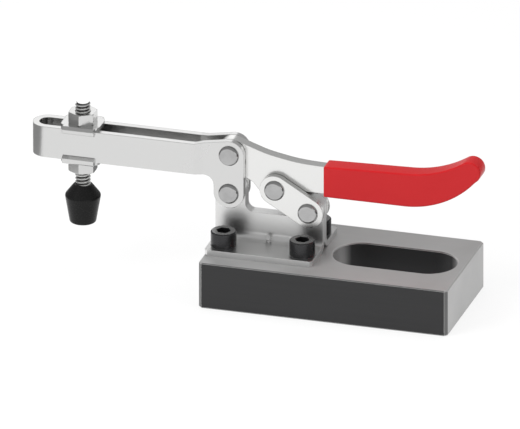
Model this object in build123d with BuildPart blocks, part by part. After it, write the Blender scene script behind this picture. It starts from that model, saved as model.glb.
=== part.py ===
"""Horizontal toggle clamp with a U-shaped arm, bolted to a slotted steel mounting block.

Millimetres. The origin is on the block's underside, below the middle of the four screws.
-X points to the arm's tip, +X to the handle, -Y to the near side and +Z up.
The clamp is mirrored about the plane Y = 0, and is shown closed.
"""
from build123d import *
from math import asin, atan2, cos, hypot, radians, sin
import os

os.makedirs("parts", exist_ok=True)

# ---- driving dimensions ----------------------------------------------------------------

# mounting block
block_front = 21.8            # from the origin to the end under the arm
block_back = 78.2             # from the origin to the end under the handle
block_width = 51.0
block_height = 19.0
block_corner = 1.2            # chamfer on the upright corners
block_edge = 0.4              # chamfer round the top face and the slot's rim
slot_length = 49.0
slot_width = 22.0
slot_wall = 3.8               # between the slot's end and the block's end

# screws, M6 socket head
screw_size = 6.0
screw_head_diameter = 10.0
screw_head_height = 6.0
screw_socket = 5.0            # across flats
screw_socket_depth = 3.2
screw_head_edge = 0.45
screw_grip = 12.0             # length of thread in the block
screw_spacing_x = 31.6
screw_spacing_y = 22.0
screw_hole_play = 0.3         # round each screw in the bracket
thread_play = 0.02            # round each screw in its tapped hole

# base brackets
base_sheet = 2.3
base_length = 43.2
flange_reach = 17.9           # from the middle plane to the flange's edge
base_bend = 3.0               # inner radius of the fold
flange_corner = 1.0
notch_floor = 32.5            # height of the gap between the two lugs
notch_radius = 3.0
gusset_radius = 1.1
gusset_reach = 0.5            # how far the gusset runs past the fold at each end

# pivots, in the closed position: (x, z)
arm_pivot = (-15.6, 40.1)
handle_pivot = (-15.5, 56.0)
link_pivot = (2.8, 43.6)
base_link_pivot = (16.2, 35.6)
lobe_radius = 6.0             # round each pivot

# rivets
rivet_diameter = 4.5
rivet_head_diameter = 8.0
rivet_head_height = 1.2
rivet_head_bevel = 1.0        # how far the head's sloping rim reaches in
running_play = 0.05           # radial, where a plate turns on a rivet
tight_play = 0.01             # radial, where a rivet is set into a plate

# plates beside the middle plane
plate_play = 0.1              # between the base's uprights and the plates beside them
handle_thickness = 4.3
link_thickness = 2.5

# arm, one strip folded into a U
arm_sheet = 2.5
arm_slot_width = 7.0          # gap between the two sides along the bar
arm_bend_x = -89.35            # centre of the U-bend
arm_bottom = 47.0
arm_top = 59.7
joggle_front = -29.2          # the sides step inwards from here
joggle_back = -25.9           # to here
joggle_round = 1.5
arm_heel_radius = 4.0         # under the bar, ahead of the pivots

# handle plate
handle_top = [(-5.5, 58.9), (-0.6, 57.4), (3.8, 56.5), (9.9, 55.5), (16.0, 55.0)]
handle_shoulder_height = 54.8 # top edge where the grip starts
handle_underside = 43.5       # bottom edge where the grip starts
nose_floor = 46.6             # lowest edge of the nose, left of the step
nose_step = [(-9.0, 46.3), (-6.6, 45.1), (-4.8, 42.8)]
nose_step_round = 0.8
nose_heel_round = 5.0

# opening, from closed to fully open, in degrees
arm_opening = 80.0            # the arm's tip swings up
link_opening = 88.5           # the links swing the same way
handle_opening = 48.0         # the handle swings the other way, against the base
pin_window_play = 0.2         # round the open pivot's pin in the handle plate
pin_window_steps = 16

# grip
grip_start = 22.1
grip_width = 7.6
grip_skin = 0.8               # over the plate's edges
grip_edge = 0.9               # bevel round both flat sides
grip_bottom = 42.7
grip_top_start = 55.5
grip_top_end = (56.0, 56.6)   # where the top starts to curve up
grip_bend_start = 51.8        # where the bottom starts to curve up
grip_tip_low = (82.9, 56.0)
grip_tip_high = (78.4, 63.8)
grip_tip_round = 2.0

# spindle, M6
spindle_x = -75.5
spindle_size = 6.0
spindle_top = 69.5
spindle_end_chamfer = 0.7
nut_across_flats = 10.0
nut_height = 4.5
nut_chamfer = 0.5
nut_play = 0.05               # radial, the stud in its nuts
washer_length = 12.65         # of the two lips, along the arm
washer_sheet = 1.5
washer_lip = 1.9              # how far the lips reach over the arm's sides
washer_lip_slope = 0.9        # the lips' edges slope by this much
washer_tongue_length = 15.6   # of the flat between the lips, along the arm
washer_tongue_width = 10.4
washer_tongue_corner = 2.0
washer_side_play = 0.1
washer_hole_play = 0.1

# rubber tip
tip_neck_height = 35.2
tip_shoulder_height = 30.6
tip_bottom = 19.4
tip_neck_diameter = 6.9
tip_shoulder_diameter = 14.0
tip_face_diameter = 10.2
tip_bevel = 1.2               # round the pressing face
tip_socket_depth = 9.0

# ---- sizes that follow -----------------------------------------------------------------

flange_top = block_height + base_sheet
base_half = base_length / 2
plate_inner = base_sheet + plate_play
link_outer = plate_inner + link_thickness
arm_rear_outer = plate_inner + arm_sheet
arm_side = arm_slot_width / 2 + arm_sheet
rivet_radius = rivet_diameter / 2
slot_x = block_back - slot_wall - slot_length / 2
arm_rear = arm_pivot[0] + lobe_radius
touching = 0.01               # closer than this, two points count as one
screw_places = {
    "front_near": (-1, -1),
    "front_far": (-1, 1),
    "rear_near": (1, -1),
    "rear_far": (1, 1),
}


def touch_point(center, radius, outside, turn):
    """Point where a line from `outside` touches a circle; turn is 1 or -1 for its side."""
    reach_x = outside[0] - center[0]
    reach_z = outside[1] - center[1]
    reach = hypot(reach_x, reach_z)
    angle = atan2(reach_z, reach_x) + turn * (radians(90) - asin(radius / reach))
    return (center[0] + radius * cos(angle), center[1] + radius * sin(angle))


def swing(start, end, degrees_round):
    """Where the end of a bar from start lies once the bar has turned counter-clockwise."""
    angle = radians(degrees_round)
    reach_x = end[0] - start[0]
    reach_z = end[1] - start[1]
    return (
        start[0] + reach_x * cos(angle) - reach_z * sin(angle),
        start[1] + reach_x * sin(angle) + reach_z * cos(angle),
    )


def pin_in_handle(share):
    """Place of the handle pivot's pin in the handle plate at a share of the full opening.

    The arm, the links and the handle each turn at an even rate, so the pin, which the arm
    carries, leaves the plate's own pivot point by a few millimetres on the way.
    """
    pin = swing(arm_pivot, handle_pivot, -arm_opening * share)
    plate_at_link = swing(base_link_pivot, link_pivot, -link_opening * share)
    from_link = (pin[0] - plate_at_link[0], pin[1] - plate_at_link[1])
    back_x, back_z = swing((0, 0), from_link, -handle_opening * share)
    return (link_pivot[0] + back_x, link_pivot[1] + back_z)


def write(piece, name):
    """Label a finished piece and write it as a STEP file."""
    piece.part.label = name
    export_step(piece.part, f"parts/{name}.step")
    print(name, round(piece.part.volume, 1))


# ---- mounting block --------------------------------------------------------------------

with BuildPart() as block:
    with BuildSketch(Plane.XY) as block_plan:
        with Locations(((block_back - block_front) / 2, 0)):
            Rectangle(block_front + block_back, block_width)
        chamfer(block_plan.vertices(), block_corner)
        with Locations((slot_x, 0)):
            SlotOverall(slot_length, slot_width, mode=Mode.SUBTRACT)
    extrude(amount=block_height)
    top_rims = block.faces().sort_by(Axis.Z)[-1].edges()
    chamfer(top_rims, block_edge)
    bottom_rims = block.faces().sort_by(Axis.Z)[0].edges()
    chamfer(bottom_rims, block_edge)
    with Locations((0, 0, block_height)):
        with GridLocations(screw_spacing_x, screw_spacing_y, 2, 2):
            Hole(screw_size / 2 + thread_play, depth=screw_grip + screw_size / 2)
write(block, "mounting_block")

# ---- base brackets ---------------------------------------------------------------------

base_ceiling = arm_pivot[1] + lobe_radius
bend_outer = base_bend + base_sheet

with BuildPart() as bracket:
    # the folded section, seen along X, drawn with its local x along +Y
    with BuildSketch(Plane.YZ.offset(-base_half)):
        with BuildLine():
            Line((-flange_reach, block_height), (-bend_outer, block_height))
            RadiusArc((-bend_outer, block_height), (0, block_height + bend_outer), -bend_outer)
            Line((0, block_height + bend_outer), (0, base_ceiling))
            Line((0, base_ceiling), (-base_sheet, base_ceiling))
            Line((-base_sheet, base_ceiling), (-base_sheet, block_height + bend_outer))
            RadiusArc(
                (-base_sheet, block_height + bend_outer), (-bend_outer, flange_top), base_bend
            )
            Line((-bend_outer, flange_top), (-flange_reach, flange_top))
            Line((-flange_reach, flange_top), (-flange_reach, block_height))
        make_face()
    extrude(amount=base_length)
    # the outline of the upright: two lugs with a notch between them
    with BuildSketch(Plane.XZ.offset(-base_sheet)) as lugs:
        with Locations((0, (block_height + notch_floor) / 2)):
            Rectangle(base_length, notch_floor - block_height)
        front_width = arm_pivot[0] + lobe_radius + base_half
        with Locations((-base_half + front_width / 2, (block_height + arm_pivot[1]) / 2)):
            Rectangle(front_width, arm_pivot[1] - block_height)
        with Locations(arm_pivot):
            Circle(lobe_radius)
        rear_width = base_half - base_link_pivot[0] + lobe_radius
        with Locations((base_half - rear_width / 2, (block_height + base_link_pivot[1]) / 2)):
            Rectangle(rear_width, base_link_pivot[1] - block_height)
        with Locations(base_link_pivot):
            Circle(lobe_radius)
        with Locations((0, (block_height + base_ceiling) / 2)):
            Rectangle(base_length, base_ceiling - block_height, mode=Mode.INTERSECT)
        notch_corners = lugs.vertices().filter_by(
            lambda v: abs(v.Y - notch_floor) < touching and abs(v.X) < base_half - lobe_radius
        )
        fillet(notch_corners, notch_radius)
    extrude(amount=flange_reach + 2 * base_sheet, mode=Mode.INTERSECT)
    flange_corners = bracket.edges().filter_by(Axis.Z).filter_by(
        lambda e: e.center().Y < -flange_reach + touching
    )
    chamfer(flange_corners, flange_corner)
    # the pressed gusset in the fold
    gusset_middle = block_height + bend_outer - base_bend * sin(radians(45))
    gusset_side = -bend_outer + base_bend * cos(radians(45))
    with Locations(Location((0, gusset_side, gusset_middle), (45, 0, 0))):
        Cylinder(gusset_radius, 2 * gusset_reach + base_bend)
    with Locations((0, -screw_spacing_y / 2, flange_top)):
        with GridLocations(screw_spacing_x, screw_spacing_y, 2, 1):
            Hole(screw_size / 2 + screw_hole_play, depth=base_sheet)
    for pivot in (arm_pivot, base_link_pivot):
        with Locations(Location((pivot[0], 0, pivot[1]), (90, 0, 0))):
            Cylinder(rivet_radius + running_play, 3 * base_sheet, mode=Mode.SUBTRACT)
write(bracket, "base_bracket_near")

with BuildPart() as bracket_far:
    mirror(bracket.part, about=Plane.XZ)
write(bracket_far, "base_bracket_far")

# ---- clamping arm ----------------------------------------------------------------------

arm_heel_x = arm_pivot[0] - lobe_radius
arm_tip_x = arm_bend_x - arm_side
arm_shoulder = (joggle_front, arm_top)
arm_shoulder_touch = touch_point(handle_pivot, lobe_radius, arm_shoulder, -1)


def strip_edge(bar_y, rear_y, front_round):
    """Outline, seen from above, of one face of the folded strip, both sides of the middle."""
    near_rear = (arm_rear, -rear_y)
    near_in = (joggle_back, -rear_y)
    near_out = (joggle_front, -bar_y)
    near_front = (arm_bend_x, -bar_y)
    far_front = (arm_bend_x, bar_y)
    far_out = (joggle_front, bar_y)
    far_in = (joggle_back, rear_y)
    far_rear = (arm_rear, rear_y)
    Polyline(near_rear, near_in, near_out, near_front)
    RadiusArc(near_front, far_front, front_round)
    Polyline(far_front, far_out, far_in, far_rear, near_rear)


with BuildPart() as arm:
    with BuildSketch(Plane.XY) as strip:
        with BuildLine():
            strip_edge(arm_side, arm_rear_outer, arm_side)
        make_face()
        with BuildLine():
            strip_edge(arm_slot_width / 2, plate_inner, arm_slot_width / 2)
        make_face(mode=Mode.SUBTRACT)
        joggle_corners = strip.vertices().filter_by(
            lambda v: joggle_front - touching < v.X < joggle_back + touching
        )
        fillet(joggle_corners, joggle_round)
    extrude(amount=max(arm_top, handle_pivot[1] + lobe_radius))
    # the side outline: the bar, the two lobes and the waist between them
    with BuildSketch(Plane.XZ.offset(-arm_side)) as side:
        with BuildLine():
            Line((arm_tip_x, arm_bottom), (arm_heel_x, arm_bottom))
            Line((arm_heel_x, arm_bottom), (arm_heel_x, arm_pivot[1]))
            Line((arm_heel_x, arm_pivot[1]), (arm_rear, arm_pivot[1]))
            Line((arm_rear, arm_pivot[1]), (arm_rear, handle_pivot[1]))
            Line((arm_rear, handle_pivot[1]), arm_shoulder_touch)
            Line(arm_shoulder_touch, arm_shoulder)
            Line(arm_shoulder, (arm_tip_x, arm_top))
            Line((arm_tip_x, arm_top), (arm_tip_x, arm_bottom))
        make_face()
        heel = side.vertices().filter_by(
            lambda v: abs(v.X - arm_heel_x) < touching and abs(v.Y - arm_bottom) < touching
        )
        fillet(heel, arm_heel_radius)
        with Locations(arm_pivot, handle_pivot):
            Circle(lobe_radius)
        with Locations(arm_pivot, handle_pivot):
            Circle(rivet_radius + tight_play, mode=Mode.SUBTRACT)
    extrude(amount=2 * arm_side, mode=Mode.INTERSECT)
write(arm, "clamping_arm")

# ---- grip outline, shared by the grip and the plate inside it --------------------------

grip_tip_middle = (
    (grip_tip_low[0] + grip_tip_high[0]) / 2,
    (grip_tip_low[1] + grip_tip_high[1]) / 2,
)
grip_tip_radius = hypot(grip_tip_high[0] - grip_tip_low[0], grip_tip_high[1] - grip_tip_low[1]) / 2


def grip_profile(skin, start):
    """Closed outline of the grip, or of the tongue that lies a skin inside it, from start on."""
    shrink = 1 - skin / grip_tip_radius
    low_x = (grip_tip_low[0] - grip_tip_middle[0]) * shrink
    low_z = (grip_tip_low[1] - grip_tip_middle[1]) * shrink
    tip_low = (grip_tip_middle[0] + low_x, grip_tip_middle[1] + low_z)
    tip_high = (grip_tip_middle[0] - low_x, grip_tip_middle[1] - low_z)
    tip_crown = (grip_tip_middle[0] - low_z, grip_tip_middle[1] + low_x)
    bottom_start = (start, grip_bottom + skin)
    top_start = (start, grip_top_start - skin)
    bottom_line = Line(bottom_start, (grip_bend_start, grip_bottom + skin))
    TangentArc(bottom_line @ 1, tip_low, tangent=bottom_line % 1)
    ThreePointArc(tip_low, tip_crown, tip_high)
    top_line = Line(top_start, (grip_top_end[0], grip_top_end[1] - skin))
    TangentArc(top_line @ 1, tip_high, tangent=top_line % 1)
    Line(bottom_start, top_start)


def tip_corners(outline):
    """The two corners of a grip profile, where its long curves meet the round tip."""
    beside_tip = [v for v in outline.vertices() if v.X > grip_tip_middle[0] - grip_tip_radius]
    return [v for v in beside_tip if v.Y > grip_tip_low[1] - grip_tip_radius]


with BuildSketch(Plane.XZ) as grip_outline:
    with BuildLine():
        grip_profile(0, grip_start)
    make_face()
    fillet(tip_corners(grip_outline), grip_tip_round)

# ---- handle plate ----------------------------------------------------------------------

with BuildSketch(Plane.XZ) as handle_outline:
    # the tongue under the grip
    neck_end = grip_start + grip_skin
    with BuildLine():
        grip_profile(grip_skin, grip_start)
    make_face()
    fillet(tip_corners(handle_outline), grip_tip_round)
    # from the grip to the nose
    nose_start = touch_point(handle_pivot, lobe_radius, handle_top[0], 1)
    nose_back = (handle_pivot[0] - lobe_radius, handle_pivot[1])
    link_lobe_left = touch_point(link_pivot, lobe_radius, nose_step[-1], 1)
    with BuildLine():
        shoulder = (neck_end, handle_shoulder_height)
        Spline(nose_start, *handle_top, shoulder)
        Line(shoulder, (neck_end, handle_underside))
        Line((neck_end, handle_underside), (link_pivot[0], handle_underside))
        Line((link_pivot[0], handle_underside), link_lobe_left)
        Polyline(link_lobe_left, *reversed(nose_step), (nose_back[0], nose_floor), nose_back)
        Line(nose_back, handle_pivot)
        Line(handle_pivot, nose_start)
    make_face()
    with Locations(handle_pivot, link_pivot):
        Circle(lobe_radius)
    nose_heel = handle_outline.vertices().filter_by(
        lambda v: abs(v.X - nose_back[0]) < touching and abs(v.Y - nose_floor) < touching
    )
    fillet(nose_heel, nose_heel_round)
    step_corners = handle_outline.vertices().filter_by(
        lambda v: any(hypot(v.X - p[0], v.Y - p[1]) < touching for p in nose_step)
    )
    fillet(step_corners, nose_step_round)

with BuildPart() as handle:
    with BuildSketch(Plane.XZ.offset(-handle_thickness / 2)):
        add(handle_outline.sketch)
        with Locations(link_pivot):
            Circle(rivet_radius + running_play, mode=Mode.SUBTRACT)
    extrude(amount=handle_thickness)
    # the window in which the open pivot's pin wanders
    with BuildSketch(Plane.XZ.offset(-handle_thickness / 2)):
        with Locations(*[pin_in_handle(step / pin_window_steps) for step in range(pin_window_steps + 1)]):
            Circle(rivet_radius + pin_window_play)
        make_hull()
    extrude(amount=handle_thickness, mode=Mode.SUBTRACT)
write(handle, "handle_plate")

with BuildPart() as grip:
    with BuildSketch(Plane.XZ.offset(-grip_width / 2)):
        add(grip_outline.sketch)
    extrude(amount=grip_width)
    grip_rims = grip.edges().filter_by(lambda e: e.center().X > grip_start + touching)
    grip_rims = grip_rims.filter_by(lambda e: abs(abs(e.center().Y) - grip_width / 2) < touching)
    chamfer(grip_rims, grip_edge)
    with BuildSketch(Plane.XZ.offset(-handle_thickness / 2)):
        add(handle_outline.sketch)
    extrude(amount=handle_thickness, mode=Mode.SUBTRACT)
write(grip, "grip")

# ---- links -----------------------------------------------------------------------------


def make_link(near_face):
    """One link plate, from near_face (its -Y side) back by its thickness."""
    with BuildPart() as link:
        with BuildSketch(Plane.XZ.offset(-near_face)):
            with Locations(link_pivot, base_link_pivot):
                Circle(lobe_radius)
            make_hull()
            with Locations(link_pivot, base_link_pivot):
                Circle(rivet_radius + tight_play, mode=Mode.SUBTRACT)
        extrude(amount=-link_thickness)
    return link


write(make_link(-link_outer), "link_near")
write(make_link(plate_inner), "link_far")

# ---- rivets ----------------------------------------------------------------------------


def make_rivet(pivot, outer_face):
    """A rivet across the middle plane with a low, sloping head on each side."""
    head_face = outer_face + rivet_head_height
    head_radius = rivet_head_diameter / 2
    with BuildPart() as rivet:
        with BuildSketch(Plane((pivot[0], 0, pivot[1]))):
            with BuildLine():
                Polyline(
                    (0, -head_face), (head_radius - rivet_head_bevel, -head_face),
                    (head_radius, -outer_face), (rivet_radius, -outer_face),
                    (rivet_radius, outer_face), (head_radius, outer_face),
                    (head_radius - rivet_head_bevel, head_face), (0, head_face), (0, -head_face),
                )
            make_face()
        revolve(axis=Axis((pivot[0], 0, pivot[1]), (0, 1, 0)))
    return rivet


for rivet_name, rivet_pivot, rivet_face in (
    ("arm_pivot_rivet", arm_pivot, arm_rear_outer),
    ("handle_pivot_rivet", handle_pivot, arm_rear_outer),
    ("link_handle_rivet", link_pivot, link_outer),
    ("link_base_rivet", base_link_pivot, link_outer),
):
    write(make_rivet(rivet_pivot, rivet_face), rivet_name)

# ---- spindle, nuts and washers ---------------------------------------------------------

spindle_radius = spindle_size / 2
stud_bottom = tip_neck_height - tip_socket_depth
upper_washer_top = arm_top + washer_sheet
lower_washer_bottom = arm_bottom - washer_sheet

with BuildPart() as spindle:
    with BuildSketch(Plane.XY.offset(stud_bottom)):
        with Locations((spindle_x, 0)):
            Circle(spindle_radius)
    extrude(amount=spindle_top - stud_bottom)
    chamfer(spindle.edges().filter_by(GeomType.CIRCLE).sort_by(Axis.Z)[-1], spindle_end_chamfer)
write(spindle, "spindle")

with BuildPart() as tip:
    with BuildSketch(Plane.XZ) as tip_section:
        with BuildLine():
            Polyline(
                (spindle_x, tip_bottom),
                (spindle_x + tip_face_diameter / 2, tip_bottom),
                (spindle_x + tip_shoulder_diameter / 2, tip_shoulder_height),
                (spindle_x + tip_neck_diameter / 2, tip_neck_height),
                (spindle_x, tip_neck_height),
                (spindle_x, tip_bottom),
            )
        make_face()
        face_corner = tip_section.vertices().filter_by(
            lambda v: abs(v.Y - tip_bottom) < touching and v.X > spindle_x + touching
        )
        chamfer(face_corner, tip_bevel)
    revolve(axis=Axis((spindle_x, 0, 0), (0, 0, 1)))
    with Locations((spindle_x, 0, tip_neck_height)):
        Hole(spindle_radius + tight_play, depth=tip_socket_depth)
write(tip, "rubber_tip")


def make_nut(floor):
    """A hexagon nut with chamfered corners, its lower face at floor."""
    corner = nut_across_flats / 2 / cos(radians(30))
    with BuildPart() as nut:
        with BuildSketch(Plane.XY.offset(floor)):
            with Locations((spindle_x, 0)):
                RegularPolygon(nut_across_flats / 2, 6, major_radius=False, rotation=30)
        extrude(amount=nut_height)
        with BuildSketch(Plane.XZ):
            with BuildLine():
                Polyline(
                    (spindle_x, floor),
                    (spindle_x + corner - nut_chamfer, floor),
                    (spindle_x + corner, floor + nut_chamfer * sin(radians(30))),
                    (spindle_x + corner, floor + nut_height - nut_chamfer * sin(radians(30))),
                    (spindle_x + corner - nut_chamfer, floor + nut_height),
                    (spindle_x, floor + nut_height),
                    (spindle_x, floor),
                )
            make_face()
        revolve(axis=Axis((spindle_x, 0, 0), (0, 0, 1)), mode=Mode.INTERSECT)
        with Locations((spindle_x, 0, floor + nut_height)):
            Hole(spindle_radius + nut_play, depth=nut_height)
    return nut


write(make_nut(upper_washer_top), "upper_nut")
write(make_nut(lower_washer_bottom - nut_height), "lower_nut")


def make_washer(seat, outward):
    """A saddle washer: a flat on the arm's edge at seat, with lips over both sides."""
    washer_half = arm_side + washer_side_play + washer_sheet
    inner = washer_half - washer_sheet
    flat_face = seat + outward * washer_sheet
    lip_inner_edge = seat - outward * washer_lip
    lip_outer_edge = lip_inner_edge + outward * washer_lip_slope
    with BuildPart() as washer:
        with BuildSketch(Plane.YZ.offset(spindle_x - washer_length / 2)) as section:
            with BuildLine():
                Polyline(
                    (-washer_half, lip_outer_edge), (-washer_half, flat_face),
                    (washer_half, flat_face), (washer_half, lip_outer_edge),
                    (inner, lip_inner_edge), (inner, seat), (-inner, seat),
                    (-inner, lip_inner_edge), (-washer_half, lip_outer_edge),
                )
            make_face()
            outside = section.vertices().filter_by(lambda v: abs(v.Y - flat_face) < touching)
            fillet(outside, washer_sheet)
        extrude(amount=washer_length)
        with BuildSketch(Plane.XY.offset(min(seat, flat_face))):
            with Locations((spindle_x, 0)):
                RectangleRounded(washer_tongue_length, washer_tongue_width, washer_tongue_corner)
        extrude(amount=washer_sheet)
        with Locations((spindle_x, 0, max(seat, flat_face))):
            Hole(spindle_radius + washer_hole_play, depth=washer_sheet)
    return washer


write(make_washer(arm_top, 1), "upper_washer")
write(make_washer(arm_bottom, -1), "lower_washer")

# ---- cap screws ------------------------------------------------------------------------

for place, (side_x, side_y) in screw_places.items():
    screw_x = side_x * screw_spacing_x / 2
    screw_y = side_y * screw_spacing_y / 2
    with BuildPart() as screw:
        with BuildSketch(Plane.XY.offset(flange_top)):
            with Locations((screw_x, screw_y)):
                Circle(screw_head_diameter / 2)
        extrude(amount=screw_head_height)
        head_rim = screw.edges().filter_by(GeomType.CIRCLE).sort_by(Axis.Z)[-1]
        chamfer(head_rim, screw_head_edge)
        with BuildSketch(Plane.XY.offset(flange_top)):
            with Locations((screw_x, screw_y)):
                Circle(screw_size / 2)
        extrude(amount=-(base_sheet + screw_grip))
        with BuildSketch(Plane.XY.offset(flange_top + screw_head_height)):
            with Locations((screw_x, screw_y)):
                RegularPolygon(screw_socket / 2, 6, major_radius=False)
        extrude(amount=-screw_socket_depth, mode=Mode.SUBTRACT)
    write(screw, f"cap_screw_{place}")
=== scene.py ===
# %% [markdown]
# # A toggle clamp on its mounting block
#
# The clamp is zinc-plated sheet steel, riveted together and screwed to a ground steel
# block. Its pieces come from the imported CAD frame, in metres, each already in its place.
# This lesson gives each of them its finish, and makes the surfaces that CAD
# leaves plain: the screw thread, the soft grip and the moulded rubber tip.

# %% Load the frame
import math

import bpy
import numpy as np
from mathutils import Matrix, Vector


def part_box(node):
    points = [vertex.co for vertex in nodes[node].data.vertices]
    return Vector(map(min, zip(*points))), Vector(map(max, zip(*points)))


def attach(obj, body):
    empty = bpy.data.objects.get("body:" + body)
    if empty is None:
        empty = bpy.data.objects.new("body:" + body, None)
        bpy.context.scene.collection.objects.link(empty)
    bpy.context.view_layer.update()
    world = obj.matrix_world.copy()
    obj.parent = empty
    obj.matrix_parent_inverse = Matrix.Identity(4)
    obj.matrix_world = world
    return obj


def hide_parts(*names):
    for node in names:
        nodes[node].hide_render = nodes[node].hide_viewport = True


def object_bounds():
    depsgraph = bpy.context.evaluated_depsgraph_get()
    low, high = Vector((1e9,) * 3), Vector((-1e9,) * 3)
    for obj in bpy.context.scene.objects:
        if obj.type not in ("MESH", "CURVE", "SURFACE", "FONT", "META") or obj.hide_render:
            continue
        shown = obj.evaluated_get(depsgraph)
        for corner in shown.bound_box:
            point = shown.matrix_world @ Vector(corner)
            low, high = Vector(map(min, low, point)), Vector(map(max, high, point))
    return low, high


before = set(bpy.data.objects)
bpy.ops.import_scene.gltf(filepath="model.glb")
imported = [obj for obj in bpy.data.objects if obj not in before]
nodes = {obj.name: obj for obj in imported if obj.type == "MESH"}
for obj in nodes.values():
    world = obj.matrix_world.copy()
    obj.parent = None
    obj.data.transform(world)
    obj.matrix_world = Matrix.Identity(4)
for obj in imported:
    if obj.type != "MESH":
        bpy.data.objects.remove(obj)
cad_bounds = [[float(v) for v in corner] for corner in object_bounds()]
MM = 0.001
print("CAD box in metres", cad_bounds)

# %% [markdown]
# ## The camera
#
# A product drawing is often shown without perspective, so that equal edges stay equal.
# An orthographic camera does that. Its direction is an azimuth and an elevation, and its
# scale is the width of the view. A perspective camera placed far away would nearly do
# the same, but it would still need its distance tuned.

# %% Camera
VIEW_AZIMUTH = math.radians(16.34)
VIEW_ELEVATION = math.radians(23.5)
VIEW_WIDTH = 200.4 * MM
VIEW_TARGET = np.array([-4.4, 0.0, 30.7]) * MM
VIEW_DISTANCE = 0.8

camera_data = bpy.data.cameras.new("camera")
camera_data.type = "ORTHO"
camera_data.ortho_scale = VIEW_WIDTH
camera_data.clip_end = 10.0
camera = bpy.data.objects.new("camera", camera_data)
bpy.context.scene.collection.objects.link(camera)
towards_camera = np.array([
    math.sin(VIEW_AZIMUTH) * math.cos(VIEW_ELEVATION),
    -math.cos(VIEW_AZIMUTH) * math.cos(VIEW_ELEVATION),
    math.sin(VIEW_ELEVATION),
])
camera.location = VIEW_TARGET + towards_camera * VIEW_DISTANCE
camera.rotation_euler = (math.pi / 2 - VIEW_ELEVATION, 0.0, VIEW_AZIMUTH)
bpy.context.scene.camera = camera
print("camera at", [round(float(v), 4) for v in camera.location])

# %% [markdown]
# ## Floor and light
#
# Polished sheet shows what stands round it, so the surroundings matter as much as the
# lamps. The floor is white to the camera and to reflections, and keeps a soft shadow
# from its diffuse share. The world is a plain mid grey, which the upward edges reflect.
# Large area lamps are used because small ones would leave hard spots on the metal.

# %% Floor
FLOOR_SIZE = 6.0
FLOOR_GLOW_SHARE = 0.80
FLOOR_WHITE = (0.93, 0.93, 0.93, 1.0)


def link_nodes(tree, source, source_socket, target, target_socket):
    """Join one node's output to another node's input."""
    tree.links.new(source.outputs[source_socket], target.inputs[target_socket])


def add_node(tree, kind, **values):
    """Add a shader node and set its plain attributes."""
    node = tree.nodes.new(kind)
    for name, value in values.items():
        setattr(node, name, value)
    return node


def math_node(tree, operation, first, second):
    """Add a Math node; each input is a number or an output socket."""
    node = add_node(tree, "ShaderNodeMath", operation=operation)
    for socket, value in zip(node.inputs, (first, second)):
        if isinstance(value, (int, float)):
            socket.default_value = value
        else:
            tree.links.new(value, socket)
    return node


def make_floor():
    """A flat sheet just under the part, white to the camera and to glossy rays."""
    half = FLOOR_SIZE / 2
    height = cad_bounds[0][2] - 0.02 * MM
    mesh = bpy.data.meshes.new("floor")
    outline = [(-half, -half), (half, -half), (half, half), (-half, half)]
    corners = [(x, y, height) for x, y in outline]
    mesh.from_pydata(corners, [], [(0, 1, 2, 3)])
    floor = bpy.data.objects.new("floor", mesh)
    bpy.context.scene.collection.objects.link(floor)
    material = bpy.data.materials.new("floor_white")
    material.use_nodes = True
    tree = material.node_tree
    tree.nodes.clear()
    rays = add_node(tree, "ShaderNodeLightPath")
    camera_ray, glossy_ray = rays.outputs["Is Camera Ray"], rays.outputs["Is Glossy Ray"]
    camera_or_glossy = math_node(tree, "MAXIMUM", camera_ray, glossy_ray)
    through_ray = rays.outputs["Is Transmission Ray"]
    seen = math_node(tree, "MAXIMUM", camera_or_glossy.outputs[0], through_ray)
    share = math_node(tree, "MULTIPLY", seen.outputs[0], FLOOR_GLOW_SHARE)
    matte = add_node(tree, "ShaderNodeBsdfDiffuse")
    matte.inputs["Color"].default_value = FLOOR_WHITE
    glow = add_node(tree, "ShaderNodeEmission")
    mix = add_node(tree, "ShaderNodeMixShader")
    output = add_node(tree, "ShaderNodeOutputMaterial")
    link_nodes(tree, share, 0, mix, 0)
    link_nodes(tree, matte, 0, mix, 1)
    link_nodes(tree, glow, 0, mix, 2)
    link_nodes(tree, mix, 0, output, "Surface")
    mesh.materials.append(material)
    return floor


make_floor()
print("floor", FLOOR_SIZE, "m wide")

# %% [markdown]
# ## Cards that only reflections see
#
# Bright metal on a white floor would vanish, so a product studio stands dark cards
# beside it, and a white one where a top edge should shine. These cards are hidden from
# the camera and cast no shadow: rounded edges, the folded tip and the thread pick up
# their grey. Painting the grey into the metal would look right from one side only.

# %% Cards
CARDS = [
    # name, two ends of its foot (x, y), foot and top above the floor in metres, brightness
    ("card_tip", (-0.165, -0.16), (-0.165, 0.16), 0.0, 0.12, 0.32),
    ("card_grip", (0.165, -0.16), (0.165, 0.16), 0.0, 0.12, 0.12),
    ("card_behind", (-0.10, 0.055), (0.05, 0.055), 0.0, 0.032, 0.25),
    ("card_white", (-0.22, 0.12), (-0.03, 0.12), 0.090, 0.200, 1.25),
    ("card_strip", (0.06, -0.20), (0.16, -0.10), 0.060, 0.100, 1.6),
]


def stand_card(name, foot_a, foot_b, low, high, brightness):
    """An upright card of one even brightness that only reflections see."""
    material = bpy.data.materials.new(name)
    material.use_nodes = True
    tree = material.node_tree
    tree.nodes.clear()
    glow = add_node(tree, "ShaderNodeEmission")
    glow.inputs["Strength"].default_value = brightness
    output = add_node(tree, "ShaderNodeOutputMaterial")
    link_nodes(tree, glow, 0, output, "Surface")
    mesh = bpy.data.meshes.new(name)
    corners = [(*foot_a, low), (*foot_b, low), (*foot_b, high), (*foot_a, high)]
    mesh.from_pydata(corners, [], [(0, 1, 2, 3)])
    mesh.materials.append(material)
    card = bpy.data.objects.new(name, mesh)
    bpy.context.scene.collection.objects.link(card)
    card.visible_camera = False
    card.visible_diffuse = False
    card.visible_transmission = False
    card.visible_shadow = False
    return card


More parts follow.
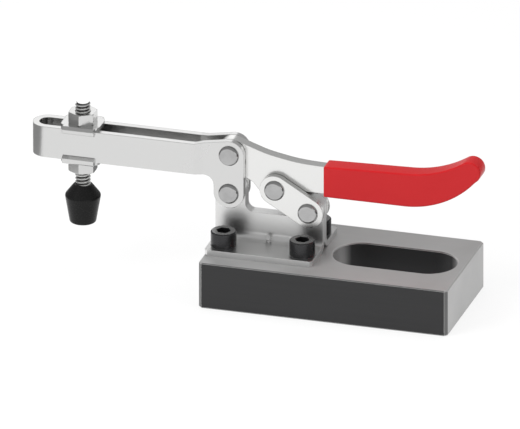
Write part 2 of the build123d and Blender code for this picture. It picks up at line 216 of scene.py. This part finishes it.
[stand_card(*card_values) for card_values in CARDS]
print("cards", len(CARDS))

# %% [markdown]
# ## Lamps and world
#
# Three large area lamps stand in front at the left, at the right and above. Reflections
# don't see them, because a lamp mirrored in flat sheet steel makes a hard streak. The
# world gives the even fill. A sun lamp would be simpler, but its shadows are too crisp.

# %% Lamps and world
WORLD_GREY = 0.42
LAMPS = [
    # name, place in metres, side length in metres, power in watts
    ("lamp_left_front", (-0.50, -0.50, 0.50), 0.55, 6.0),
    ("lamp_right", (0.65, -0.10, 0.40), 0.45, 1.5),
    ("lamp_above", (0.05, 0.15, 0.75), 0.60, 2.4),
]


def add_lamp(name, place, side, power):
    """A square area lamp that points at the middle of the part."""
    data = bpy.data.lights.new(name, "AREA")
    data.shape = "SQUARE"
    data.size = side
    data.energy = power
    lamp = bpy.data.objects.new(name, data)
    bpy.context.scene.collection.objects.link(lamp)
    aim = np.array(place) - VIEW_TARGET
    distance = np.linalg.norm(aim)
    lamp.location = place
    lamp.rotation_euler = (math.acos(aim[2] / distance), 0.0, math.atan2(aim[0], -aim[1]))
    lamp.visible_glossy = False


for lamp_values in LAMPS:
    add_lamp(*lamp_values)

world = bpy.data.worlds.new("studio")
world.use_nodes = True
background = world.node_tree.nodes["Background"]
background.inputs["Color"].default_value = (WORLD_GREY, WORLD_GREY, WORLD_GREY, 1.0)
bpy.context.scene.world = world
bpy.context.scene.view_settings.view_transform = "Standard"
print("lamps", [values[0] for values in LAMPS])

# %% [markdown]
# ## Finishes
#
# Each finish is a Principled shader with a grain that reads Object coordinates, so it
# stays fixed to the metal when a piece turns. A Bevel node finds the edges: where its
# rounded normal leaves the true one, the colour is a little lighter, both as wear from
# handling and as a painted highlight along the edge.

# %% Material helpers
EDGE_RADIUS = 0.32 * MM


def start_material(name):
    """A new material, with its node tree and its Principled shader."""
    material = bpy.data.materials.new(name)
    material.use_nodes = True
    return material, material.node_tree, material.node_tree.nodes["Principled BSDF"]


def object_noise(tree, stretch, detail=3.0, offset=(0.0, 0.0, 0.0)):
    """Noise over Object coordinates; stretch is its frequency along X, Y and Z, per metre."""
    place = add_node(tree, "ShaderNodeTexCoord")
    mapping = add_node(tree, "ShaderNodeMapping")
    mapping.inputs["Location"].default_value = offset
    mapping.inputs["Scale"].default_value = stretch
    noise = add_node(tree, "ShaderNodeTexNoise")
    noise.inputs["Scale"].default_value = 1.0
    noise.inputs["Detail"].default_value = detail
    link_nodes(tree, place, "Object", mapping, "Vector")
    link_nodes(tree, mapping, "Vector", noise, "Vector")
    return noise.outputs["Fac"]


def spread(tree, value, low, high, from_low=0.3, from_high=0.7):
    """Map a 0 to 1 value onto low to high."""
    ranged = add_node(tree, "ShaderNodeMapRange")
    ranged.inputs["From Min"].default_value = from_low
    ranged.inputs["From Max"].default_value = from_high
    ranged.inputs["To Min"].default_value = low
    ranged.inputs["To Max"].default_value = high
    tree.links.new(value, ranged.inputs["Value"])
    return ranged.outputs["Result"]


def edge_mask(tree, radius=EDGE_RADIUS):
    """(rounded normal, mask that is 1 on an edge and 0 on a flat)."""
    bevel = add_node(tree, "ShaderNodeBevel", samples=6)
    bevel.inputs["Radius"].default_value = radius
    geometry = add_node(tree, "ShaderNodeNewGeometry")
    dot = add_node(tree, "ShaderNodeVectorMath", operation="DOT_PRODUCT")
    link_nodes(tree, bevel, "Normal", dot, 0)
    link_nodes(tree, geometry, "Normal", dot, 1)
    mask = spread(tree, dot.outputs["Value"], 1.0, 0.0, from_low=0.90, from_high=0.995)
    return bevel.outputs["Normal"], mask


def blend_colors(tree, share, first, second):
    """Mix two colours by a share; each colour is RGB or an output socket."""
    mix = add_node(tree, "ShaderNodeMix", data_type="RGBA")
    tree.links.new(share, mix.inputs["Factor"])
    for socket, value in ((mix.inputs[6], first), (mix.inputs[7], second)):
        if isinstance(value, tuple):
            socket.default_value = (*value, 1.0)
        else:
            tree.links.new(value, socket)
    return mix.outputs[2]


def add_bump(tree, shader, height, strength, distance, normal=None):
    """Feed a height into the shader's normal."""
    bump = add_node(tree, "ShaderNodeBump")
    bump.inputs["Strength"].default_value = strength
    bump.inputs["Distance"].default_value = distance
    tree.links.new(height, bump.inputs["Height"])
    if normal is not None:
        tree.links.new(normal, bump.inputs["Normal"])
    link_nodes(tree, bump, "Normal", shader, "Normal")


# %% [markdown]
# ### Bright zinc on rolled sheet
#
# The rolled sheet has a faint grain along its length. Fine noise stretched along X gives
# that grain, and slow noise makes the cloudy sheen that plating leaves. An anisotropic
# shader could show the grain too, but its direction has to be set for every piece.

# %% Zinc
def zinc_finish(name, color, roughness, grain=(60.0, 2600.0, 2600.0)):
    """Zinc-plated steel with rolling grain, cloudy sheen, and edges lightened by wear and a painted
    highlight.
    """
    material, tree, shader = start_material(name)
    normal, edges = edge_mask(tree)
    clouds = object_noise(tree, (28.0, 28.0, 28.0))
    lines = object_noise(tree, grain, detail=4.0)
    darker = tuple(channel * 0.93 for channel in color)
    clouded = blend_colors(tree, clouds, darker, color)
    # Lighter edges: wear on the plating and a painted highlight along each edge.
    rubbed_and_highlight = tuple(min(channel * 1.12, 0.97) for channel in color)
    tree.links.new(blend_colors(tree, edges, clouded, rubbed_and_highlight), shader.inputs["Base Color"])
    tree.links.new(spread(tree, clouds, roughness * 0.85, roughness * 1.2), shader.inputs["Roughness"])
    shader.inputs["Metallic"].default_value = 1.0
    add_bump(tree, shader, lines, 0.02, 0.01 * MM, normal)
    return material


zinc_sheet = zinc_finish("zinc_sheet", (0.70, 0.70, 0.695), 0.24)
zinc_linkage = zinc_finish("zinc_linkage", (0.84, 0.84, 0.83), 0.24)
zinc_bracket = zinc_finish("zinc_bracket", (0.84, 0.84, 0.835), 0.34)
zinc_fastener = zinc_finish("zinc_fastener", (0.68, 0.68, 0.675), 0.22, grain=(1500.0, 1500.0, 1500.0))
print("zinc finishes made")

# %% [markdown]
# ### Ground steel with painted light and painted shade
#
# The block's long sides are painted dark as shade, while its top and its ends are painted
# light, with straight tool marks. The mask comes from the surface's own
# direction, read in the block's frame. Two separate pieces would do it too, but the block
# is one solid.

# %% Block steel
# Painted shade colour for the long sides; painted light colour for the top and the ends.
BLOCK_SIDE_PAINTED_SHADE = (0.034, 0.034, 0.035)
BLOCK_TOP_PAINTED_LIGHT = (0.45, 0.45, 0.448)


def block_finish():
    """Painted shade on faces that look along Y; ground steel with painted light on the others."""
    material, tree, shader = start_material("block_steel")
    normal, edges = edge_mask(tree, 0.35 * MM)
    geometry = add_node(tree, "ShaderNodeTexCoord")
    axes = add_node(tree, "ShaderNodeSeparateXYZ")
    link_nodes(tree, geometry, "Normal", axes, 0)
    sideways = math_node(tree, "ABSOLUTE", axes.outputs["Y"], 0.0)
    painted_shade_share = spread(tree, sideways.outputs[0], 0.0, 1.0, from_low=0.45, from_high=0.8)
    clouds = object_noise(tree, (45.0, 45.0, 45.0))
    marks = object_noise(tree, (25.0, 1500.0, 1500.0), detail=4.0)
    brightened = tuple(channel * 1.18 for channel in BLOCK_TOP_PAINTED_LIGHT)
    # Much lighter edges: wear on the steel and a painted highlight along each edge, the slot's rim
    # included.
    rubbed_and_highlight = tuple(channel * 2.1 for channel in BLOCK_TOP_PAINTED_LIGHT)
    ground = blend_colors(tree, spread(tree, marks, 0.2, 0.8), BLOCK_TOP_PAINTED_LIGHT, brightened)
    stained = tuple(channel * 0.85 for channel in BLOCK_TOP_PAINTED_LIGHT)
    clouded = blend_colors(tree, spread(tree, clouds, 0.0, 0.5), ground, stained)
    # Faces that look along Y get painted shade, the others painted light.
    faces = blend_colors(tree, painted_shade_share, clouded, BLOCK_SIDE_PAINTED_SHADE)
    edge_share = spread(tree, edges, 0.0, 0.7, 0.0, 1.0)
    tree.links.new(blend_colors(tree, edge_share, faces, rubbed_and_highlight), shader.inputs["Base Color"])
    tree.links.new(spread(tree, marks, 0.36, 0.50), shader.inputs["Roughness"])
    shader.inputs["Metallic"].default_value = 0.55
    add_bump(tree, shader, marks, 0.16, 0.02 * MM, normal)
    return material


block_steel = block_finish()
print("block finish made")

# %% [markdown]
# ### Turned rivet heads and black screws
#
# A rivet's flat face is turned or spun, which leaves rings round its middle. The rings
# are a wave of the distance from the rivet's axis, so each rivet's finish is told where
# its own middle is. The screws are blackened; the top face round the socket carries a
# painted highlight, and the edges are lighter from wear and a painted highlight.
# Noise alone would be simpler, but the heads would look cast instead of turned.

# %% Turned metal
RING_PITCH = 0.16 * MM


def distance_from_axis(tree, middle, along):
    """Distance in metres from a line through middle along 'Y' or 'Z'."""
    place = add_node(tree, "ShaderNodeTexCoord")
    shift = add_node(tree, "ShaderNodeVectorMath", operation="SUBTRACT")
    shift.inputs[1].default_value = middle
    flat = add_node(tree, "ShaderNodeVectorMath", operation="MULTIPLY")
    flat.inputs[1].default_value = (1.0, 0.0, 1.0) if along == "Y" else (1.0, 1.0, 0.0)
    length = add_node(tree, "ShaderNodeVectorMath", operation="LENGTH")
    link_nodes(tree, place, "Object", shift, 0)
    link_nodes(tree, shift, 0, flat, 0)
    link_nodes(tree, flat, 0, length, 0)
    return length.outputs["Value"]


def middle_of(node):
    """Middle of a CAD node's box, in metres."""
    low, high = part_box(node)
    return tuple((a + b) / 2 for a, b in zip(low, high))


def turned_finish(
    name, node, along, color, roughness, metallic=1.0, edge_rub_and_highlight=1.15, face=None, rings_height=0.12,
):
    """Metal with turning rings round its own axis, edges lightened by wear and a painted highlight, and,
    if asked, an end face with a painted highlight.
    """
    material, tree, shader = start_material(name)
    normal, edges = edge_mask(tree)
    distance = distance_from_axis(tree, middle_of(node), along)
    phase = math_node(tree, "MULTIPLY", distance, 2 * math.pi / RING_PITCH)
    rings = math_node(tree, "SINE", phase.outputs[0], 0.0)
    stains = object_noise(tree, (260.0, 260.0, 260.0))
    shaded = blend_colors(tree, spread(tree, stains, 0.0, 1.0), tuple(c * 0.86 for c in color), color)
    # On the end face, beyond the socket, a painted highlight.
    if face is not None:
        place = add_node(tree, "ShaderNodeTexCoord")
        axes = add_node(tree, "ShaderNodeSeparateXYZ")
        link_nodes(tree, place, "Normal", axes, 0)
        on_face = spread(tree, axes.outputs[along], 0.0, 1.0, from_low=0.8, from_high=0.98)
        past_socket = spread(tree, distance, 0.0, 1.0, from_low=2.4 * MM, from_high=2.9 * MM)
        brightened = math_node(tree, "MULTIPLY", on_face, past_socket)
        shaded = blend_colors(tree, brightened.outputs[0], shaded, face)
    # Lighter edges: wear on the metal and a painted highlight along each edge.
    rubbed_and_highlight = tuple(min(c * edge_rub_and_highlight, 0.95) for c in color)
    tree.links.new(blend_colors(tree, edges, shaded, rubbed_and_highlight), shader.inputs["Base Color"])
    tree.links.new(spread(tree, stains, roughness * 0.8, roughness * 1.3), shader.inputs["Roughness"])
    shader.inputs["Metallic"].default_value = metallic
    add_bump(tree, shader, rings.outputs[0], rings_height, 0.01 * MM, normal)
    return material


# %% [markdown]
# ### Vinyl and rubber
#
# The grip is dipped vinyl: a satin red with a fine skin like orange peel. The tip is
# moulded rubber, darker and a little duller, with pores that break up its shine. A plain
# colour with one roughness would do from afar, but close up it looks like hard plastic.

# %% Soft finishes
GRIP_RED = (0.46, 0.006, 0.009)
RUBBER_BLACK = (0.006, 0.006, 0.006)


def soft_finish(name, color, roughness, grain, shine, bump):
    """A soft moulded surface with fine pores and slow colour change."""
    material, tree, shader = start_material(name)
    pores = object_noise(tree, (grain, grain, grain), detail=5.0)
    slow = object_noise(tree, (40.0, 40.0, 40.0))
    lighter = tuple(min(c * 1.12 + 0.004, 1.0) for c in color)
    tree.links.new(blend_colors(tree, slow, color, lighter), shader.inputs["Base Color"])
    tree.links.new(spread(tree, pores, roughness * 0.85, roughness * 1.15), shader.inputs["Roughness"])
    shader.inputs["Specular IOR Level"].default_value = shine
    add_bump(tree, shader, pores, bump, 0.03 * MM)
    return material


red_vinyl = soft_finish("red_vinyl", GRIP_RED, 0.36, 1800.0, 0.28, 0.06)
black_rubber = soft_finish("black_rubber", RUBBER_BLACK, 0.26, 1500.0, 0.16, 0.03)
print("soft finishes made")

# %% [markdown]
# ## Give each CAD piece its finish
#
# On the real clamp the sheet parts are zinc-plated, the screws are blackened and the
# rivets are left bright. A node keeps its mesh and only gets a new material in its slots.
# One material for all the steel would be shorter, but then the pieces would run together,
# because it is the change of finish that shows where one ends and the next begins.

# %% Assign
RIVET_STEEL = (0.46, 0.46, 0.46)
RIVET_ROUGHNESS = 0.12
SCREW_BLACK = (0.050, 0.050, 0.052)
# A painted highlight for the screw heads' top face.
SCREW_TOP_PAINTED_HIGHLIGHT = (0.26, 0.26, 0.26)
LINKAGE_NODES = ["handle_plate", "link_near", "link_far"]
BRACKET_NODES = ["base_bracket_near", "base_bracket_far"]
FASTENER_NODES = ["upper_nut", "lower_nut", "upper_washer", "lower_washer"]
RIVET_NODES = ["arm_pivot_rivet", "handle_pivot_rivet", "link_handle_rivet", "link_base_rivet"]
SCREW_NODES = ["cap_screw_front_near", "cap_screw_front_far", "cap_screw_rear_near", "cap_screw_rear_far"]


def dress(node, material):
    """Put one material on every slot of a CAD node."""
    mesh = nodes[node].data
    mesh.materials.clear()
    mesh.materials.append(material)


dress("clamping_arm", zinc_sheet)
for node in LINKAGE_NODES:
    dress(node, zinc_linkage)
for node in BRACKET_NODES:
    dress(node, zinc_bracket)
for node in FASTENER_NODES:
    dress(node, zinc_fastener)
rivet_finishes = {}
for node in RIVET_NODES:
    rivet_finishes[node] = turned_finish("turned_" + node, node, "Y", RIVET_STEEL, RIVET_ROUGHNESS)
    dress(node, rivet_finishes[node])
for node in SCREW_NODES:
    black = turned_finish(
        "black_" + node, node, "Z", SCREW_BLACK, 0.24,
        metallic=0.85, edge_rub_and_highlight=3.0, face=SCREW_TOP_PAINTED_HIGHLIGHT, rings_height=0.08,
    )
    dress(node, black)
dress("mounting_block", block_steel)
dress("grip", red_vinyl)
dress("rubber_tip", black_rubber)
dress("spindle", zinc_fastener)
print("dressed", len(nodes), "nodes")

# %% [markdown]
# ## One grid, many surfaces
#
# The thread, the rivets, the rubber tip and the grip are all rings of points joined
# into a skin. Each is computed as one numpy array, shaped (rings, points, 3), and a
# single function makes the mesh. Modelling them from primitives and modifiers is also
# possible, but an array keeps every size tied to the CAD frame.

# %% Grid helpers
def smooth_closed(points, reach, steps=200):
    """Resample a closed outline evenly, then round it by a moving average of the given reach."""
    closed = np.vstack([points, points[:1]])
    along = np.concatenate([[0.0], np.cumsum(np.linalg.norm(np.diff(closed, axis=0), axis=1))])
    even = np.linspace(0.0, along[-1], steps, endpoint=False)
    outline = np.stack([np.interp(even, along, closed[:, axis]) for axis in range(2)], axis=1)
    window = max(1, int(round(reach / (along[-1] / steps))))
    shifts = np.arange(-window, window + 1)
    weights = 1.0 + np.cos(np.pi * shifts / (window + 1))
    weights /= weights.sum()
    return sum(weight * np.roll(outline, shift, axis=0) for weight, shift in zip(weights, shifts))


def grid_mesh(name, grid, material):
    """A closed skin over an array of rings, with one flat face at each end."""
    rings, points = grid.shape[:2]
    index = np.arange(rings * points).reshape(rings, points)
    after = np.roll(index, -1, axis=1)
    quads = np.stack([index[:-1], after[:-1], after[1:], index[1:]], axis=-1).reshape(-1, 4)
    ends = [index[0, ::-1].tolist(), index[-1].tolist()]
    mesh = bpy.data.meshes.new(name)
    mesh.from_pydata(grid.reshape(-1, 3).tolist(), [], quads.tolist() + ends)
    smooth = np.ones(len(mesh.polygons), dtype=bool)
    smooth[len(quads):] = False
    mesh.polygons.foreach_set("use_smooth", smooth)
    mesh.materials.append(material)
    piece = bpy.data.objects.new(name, mesh)
    bpy.context.scene.collection.objects.link(piece)
    return piece


def install(piece, node, body):
    """Put a finished piece in a CAD node's place."""
    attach(piece, body)
    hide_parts(node)
    print(piece.name, "stands for", node, "with", len(piece.data.polygons), "faces")


def arc(middle, radius, start, end, steps):
    """Points on a circle from angle start to angle end, in degrees."""
    angle = np.radians(np.linspace(start, end, steps))
    return np.stack([middle[0] + radius * np.cos(angle), middle[1] + radius * np.sin(angle)], axis=1)


def lathe(profile, middle, axis, segments):
    """Turn (radius, height) rows about an axis through middle.

    Point = middle + radius x (cos a, sin a) across the axis + height along it.
    """
    angle = np.linspace(0.0, 2 * np.pi, segments, endpoint=False)
    radius, height = profile[:, 0, None], profile[:, 1, None]
    across = np.stack([radius * np.cos(angle), radius * np.sin(angle)], axis=-1)
    along = np.broadcast_to(height, across.shape[:2])
    if axis == "Y":
        columns = [across[..., 0], along, -across[..., 1]]
    else:
        columns = [across[..., 0], across[..., 1], along]
    return np.stack(columns, axis=-1) + np.array(middle)


print("grid helpers ready")

# %% [markdown]
# ## The spindle's thread
#
# The spindle is a metric stud with a rolled thread. A thread is one surface: at angle a
# and height z the radius swings between crest and root with the fraction of a turn that
# z / pitch - a / full turn has reached. Computing the whole grid at once with numpy keeps
# it exact and quick, where a screw modifier would leave its ends open.

# %% Thread
THREAD_PITCH = 1.4 * MM
THREAD_DEPTH = 0.70 * MM
THREAD_ROWS_PER_TURN = 14
THREAD_SEGMENTS = 56
THREAD_RUN_OUT = 0.7 * MM
# Painted shade for the grooves and painted highlight for the crests.
GROOVE_PAINTED_SHADE = (0.10, 0.10, 0.098)
CREST_PAINTED_HIGHLIGHT_DULL = (0.84, 0.84, 0.83)
CREST_PAINTED_HIGHLIGHT_BRIGHT = (0.93, 0.93, 0.92)


def threaded_stud(node):
    """Radius = crest - depth x wave(z / pitch - a / full turn), cut to a cone at both ends."""
    low, high = (np.array(corner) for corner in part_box(node))
    middle = (low + high) / 2
    crest = (high[0] - low[0]) / 2
    length = high[2] - low[2]
    rows = int(length / THREAD_PITCH * THREAD_ROWS_PER_TURN)
    height = np.linspace(0.0, length, rows)[:, None]
    angle = np.linspace(0.0, 2 * np.pi, THREAD_SEGMENTS, endpoint=False)[None, :]
    turn = height / THREAD_PITCH - angle / (2 * np.pi)
    wave = np.abs(2 * (turn - np.floor(turn)) - 1)
    radius = crest - THREAD_DEPTH * np.clip(wave * 1.35 - 0.15, 0.0, 1.0)
    from_end = np.minimum(height, length - height)
    radius = np.minimum(radius, crest - np.clip(THREAD_RUN_OUT - from_end, 0.0, None))
    columns = [
        middle[0] + radius * np.cos(angle),
        middle[1] + radius * np.sin(angle),
        np.broadcast_to(low[2] + height, radius.shape),
    ]
    return np.stack(columns, axis=-1)


def thread_finish(node):
    """Zinc with a painted highlight on the crests and the stud's end, and painted shade in the grooves.
    """
    material, tree, shader = start_material("bright_thread")
    distance = distance_from_axis(tree, middle_of(node), "Z")
    low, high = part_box(node)
    crest = (high[0] - low[0]) / 2
    on_crest = spread(tree, distance, 0.0, 1.0, from_low=crest - 0.55 * MM, from_high=crest - 0.1 * MM)
    place = add_node(tree, "ShaderNodeTexCoord")
    axes = add_node(tree, "ShaderNodeSeparateXYZ")
    link_nodes(tree, place, "Normal", axes, 0)
    upward = math_node(tree, "ABSOLUTE", axes.outputs["Z"], 0.0)
    on_end = spread(tree, upward.outputs[0], 0.0, 1.0, from_low=0.90, from_high=0.98)
    # Painted highlight on the crests and the stud's end.
    bright = math_node(tree, "MAXIMUM", on_crest, on_end)
    stains = object_noise(tree, (300.0, 300.0, 300.0))
    crests = blend_colors(tree, spread(tree, stains, 0.0, 1.0), CREST_PAINTED_HIGHLIGHT_DULL, CREST_PAINTED_HIGHLIGHT_BRIGHT)
    zinc = blend_colors(tree, bright.outputs[0], GROOVE_PAINTED_SHADE, crests)
    tree.links.new(zinc, shader.inputs["Base Color"])
    shader.inputs["Metallic"].default_value = 1.0
    shader.inputs["Roughness"].default_value = 0.22
    return material


bright_thread = thread_finish("spindle")
stud = grid_mesh("spindle_thread", threaded_stud("spindle"), bright_thread)
install(stud, "spindle", "spindle_set")

# %% [markdown]
# ## Spun rivet heads
#
# A rivet head is pressed or spun over, so its rim is round and not a sharp bevel. The
# profile runs from one flat face over a quarter round, along the shank and out again at
# the far side. Turning the profile about the rivet's axis gives the whole pin.

# %% Rivets
RIVET_BODIES = {
    "arm_pivot_rivet": "arm",
    "handle_pivot_rivet": "arm",
    "link_handle_rivet": "links",
    "link_base_rivet": "links",
}
RIVET_RIM = 0.95 * MM
RIVET_HEAD_HEIGHT = 1.2 * MM
SHANK_SHARE = 4.5 / 8.0
RIVET_SEGMENTS = 64


def rivet_profile(head_radius, half_length):
    """(radius, height) rows of a rivet, from the low head's face to the high head's face."""
    under = half_length - RIVET_HEAD_HEIGHT
    rim = arc((head_radius - RIVET_RIM, half_length - RIVET_RIM), RIVET_RIM, 0, 90, 9)
    dish = np.array([[head_radius - RIVET_RIM - 0.3 * MM, half_length - 0.06 * MM]])
    shank = np.array([[head_radius * SHANK_SHARE, under], [head_radius, under]])
    top = np.vstack([shank, rim, dish])
    bottom = top[::-1] * np.array([1.0, -1.0])
    return np.vstack([bottom, top])


for rivet, rivet_body in RIVET_BODIES.items():
    rivet_low, rivet_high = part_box(rivet)
    profile = rivet_profile((rivet_high[0] - rivet_low[0]) / 2, (rivet_high[1] - rivet_low[1]) / 2)
    skin = lathe(profile, middle_of(rivet), "Y", RIVET_SEGMENTS)
    spun = grid_mesh(rivet + "_spun", skin, rivet_finishes[rivet])
    install(spun, rivet, rivet_body)

# %% [markdown]
# ## The moulded rubber tip
#
# The tip is rubber moulded on the stud, so no edge of it is sharp. Its profile is a short
# list of corners, rounded by a moving average before it is turned. A subdivision modifier
# would round it too, but less evenly near the short faces.

# %% Rubber tip
TIP_ROUNDING = 1.1 * MM
TIP_SEGMENTS = 72


def tip_profile(node):
    """(radius, height) rows of the tip, rounded at the shoulder and at the pressing face."""
    low, high = (np.array(corner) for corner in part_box(node))
    wide = (high[0] - low[0]) / 2
    tall = high[2] - low[2]
    corners = np.array([
        [0.30, 0.0], [0.73, 0.0], [1.0, 0.71], [0.50, 1.0], [0.44, 1.0], [0.30, 1.0],
    ]) * np.array([wide, tall])
    mirrored = np.vstack([corners, corners[::-1] * np.array([-1.0, 1.0])])
    outline = smooth_closed(mirrored, TIP_ROUNDING, steps=480)
    right = outline[outline[:, 0] > 0.31 * wide]
    start = int(np.argmax(np.linalg.norm(np.roll(right, 1, axis=0) - right, axis=1)))
    rows = np.roll(right, -start, axis=0)
    if rows[0, 1] > rows[-1, 1]:
        rows = rows[::-1]
    rows[:, 1] = np.clip(rows[:, 1], 0.0, tall)
    return rows + np.array([0.0, low[2]])


tip_middle = np.array(middle_of("rubber_tip")) * np.array([1.0, 1.0, 0.0])
tip_skin = lathe(tip_profile("rubber_tip"), tip_middle, "Z", TIP_SEGMENTS)
install(grid_mesh("tip_moulded", tip_skin, black_rubber), "rubber_tip", "spindle_set")

# %% [markdown]
# ## The dipped grip
#
# The handle is dipped in hot vinyl, which leaves an even skin with soft corners. The side
# outline is two straight runs and three arcs. Rings of that outline step inward by
# r (1 - cos t) while they move out by r sin t, which sweeps a quarter round along the rim.
# A bevel modifier on the CAD mesh would meet its long thin triangles and crease.

# %% Grip
GRIP_BOTTOM = [(22.1, 42.7), (54.2, 42.7), (82.9, 56.0)]
GRIP_TOP = [(22.1, 55.5), (56.0, 56.6), (78.4, 63.8)]
GRIP_HALF_WIDTH = 3.8
GRIP_RIM = 0.65
GRIP_CORNER_ROUNDING = 0.8


def tangent_arc(start, through, end, steps):
    """The straight run start-through, then the arc that leaves it smoothly and meets end.

    The arc's middle lies on the run's normal at through, at distance
    |chord|^2 / (2 chord . normal).
    """
    start, through, end = (np.array(point) for point in (start, through, end))
    direction = (through - start) / np.linalg.norm(through - start)
    normal = np.array([-direction[1], direction[0]])
    chord = end - through
    radius = chord @ chord / (2 * (chord @ normal))
    middle = through + normal * radius
    turn = 2 * math.atan2(chord @ normal, chord @ direction)
    angle = np.linspace(0.0, turn, steps)[:, None]
    curve = middle - normal * radius * np.cos(angle) + direction * radius * np.sin(angle)
    return np.vstack([start, curve])


def grip_outline():
    """The grip's side outline in millimetres, (x, z) rows, counter-clockwise."""
    bottom = tangent_arc(*GRIP_BOTTOM, steps=40)
    top = tangent_arc(*GRIP_TOP, steps=40)
    low, high = bottom[-1], top[-1]
    angle_low = math.degrees(math.atan2(low[1] - high[1], low[0] - high[0]))
    tip = arc((low + high) / 2, np.linalg.norm(low - high) / 2, angle_low, angle_low + 180, 24)
    return smooth_closed(np.vstack([bottom, tip[1:-1], top[::-1]]), GRIP_CORNER_ROUNDING, steps=260)


def grip_grid(outline):
    """Rings of the outline, inset at both sides by a quarter round."""
    tangent = np.roll(outline, -1, axis=0) - np.roll(outline, 1, axis=0)
    tangent /= np.linalg.norm(tangent, axis=1, keepdims=True)
    inward = np.stack([-tangent[:, 1], tangent[:, 0]], axis=1)
    turn = np.radians(np.linspace(90.0, 0.0, 8))
    inset = GRIP_RIM * (1 - np.cos(turn))
    side = GRIP_HALF_WIDTH - GRIP_RIM + GRIP_RIM * np.sin(turn)
    insets = np.concatenate([inset, inset[::-1]])
    sides = np.concatenate([side, -side[::-1]])
    flat = outline[None] + inward[None] * insets[:, None, None]
    across = np.broadcast_to(sides[:, None], flat.shape[:2])
    return np.stack([flat[..., 0], across, flat[..., 1]], axis=-1) * MM


install(grid_mesh("grip_dipped", grip_grid(grip_outline()), red_vinyl), "grip", "handle")
